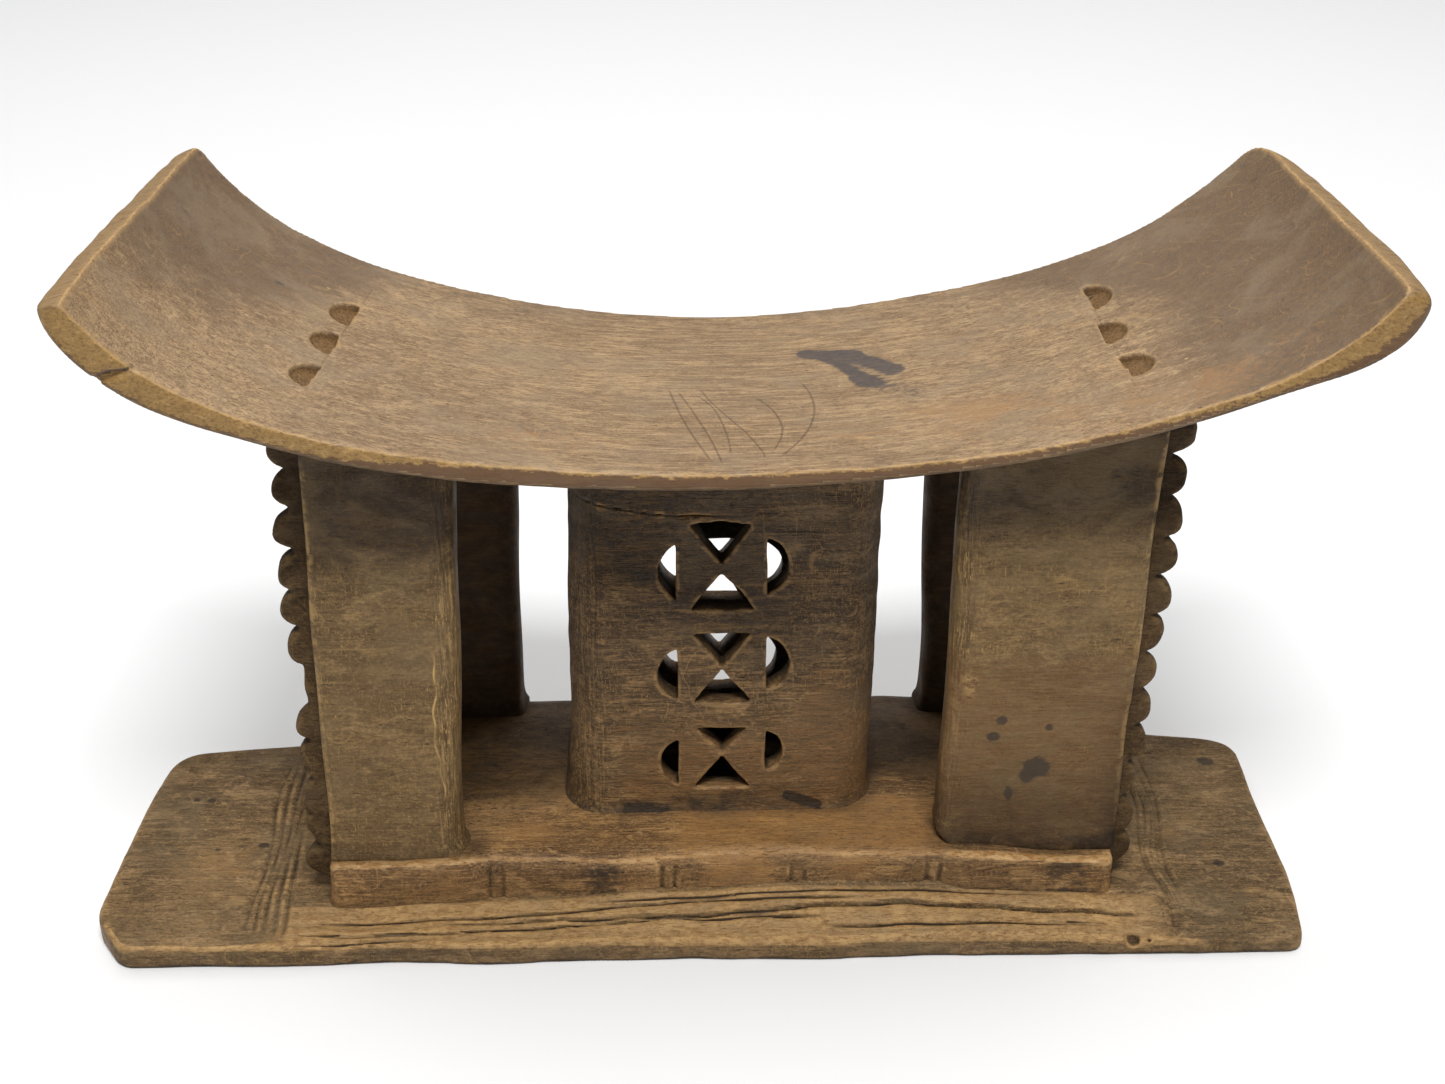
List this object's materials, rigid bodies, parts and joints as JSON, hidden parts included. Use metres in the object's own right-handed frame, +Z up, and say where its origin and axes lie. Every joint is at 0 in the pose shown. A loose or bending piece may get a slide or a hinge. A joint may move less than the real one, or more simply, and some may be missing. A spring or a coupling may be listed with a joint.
{
  "type": "carved wooden stool",
  "caption": "Low carved wooden stool or headrest: a long upswept seat on corner posts with scalloped fins and a pierced hollow column, over a stepped base.",
  "frame": {"origin": "on the floor, under the middle of the stool's outline", "axes": "+X along the seat's length, to the viewer's right; +Y from front to back; +Z up"},
  "size_m": [0.5193, 0.1792, 0.3],
  "materials": {
    "seat_wood": "hand-polished by use",
    "column_wood": "worn, dull",
    "post_wood": "worn, dull",
    "fin_wood": "dark, encrusted",
    "plinth_wood": "worn, dull",
    "base_wood": "worn, weathered"
  },
  "bodies": {
    "root": {"seat": "seat_wood", "centre_column": "column_wood", "front_left_post": "post_wood", "front_right_post": "post_wood", "rear_left_post": "post_wood", "rear_right_post": "post_wood", "front_left_fin": "fin_wood", "front_right_fin": "fin_wood", "rear_left_fin": "fin_wood", "rear_right_fin": "fin_wood", "plinth": "plinth_wood", "base": "base_wood"}
  },
  "joints": []
}
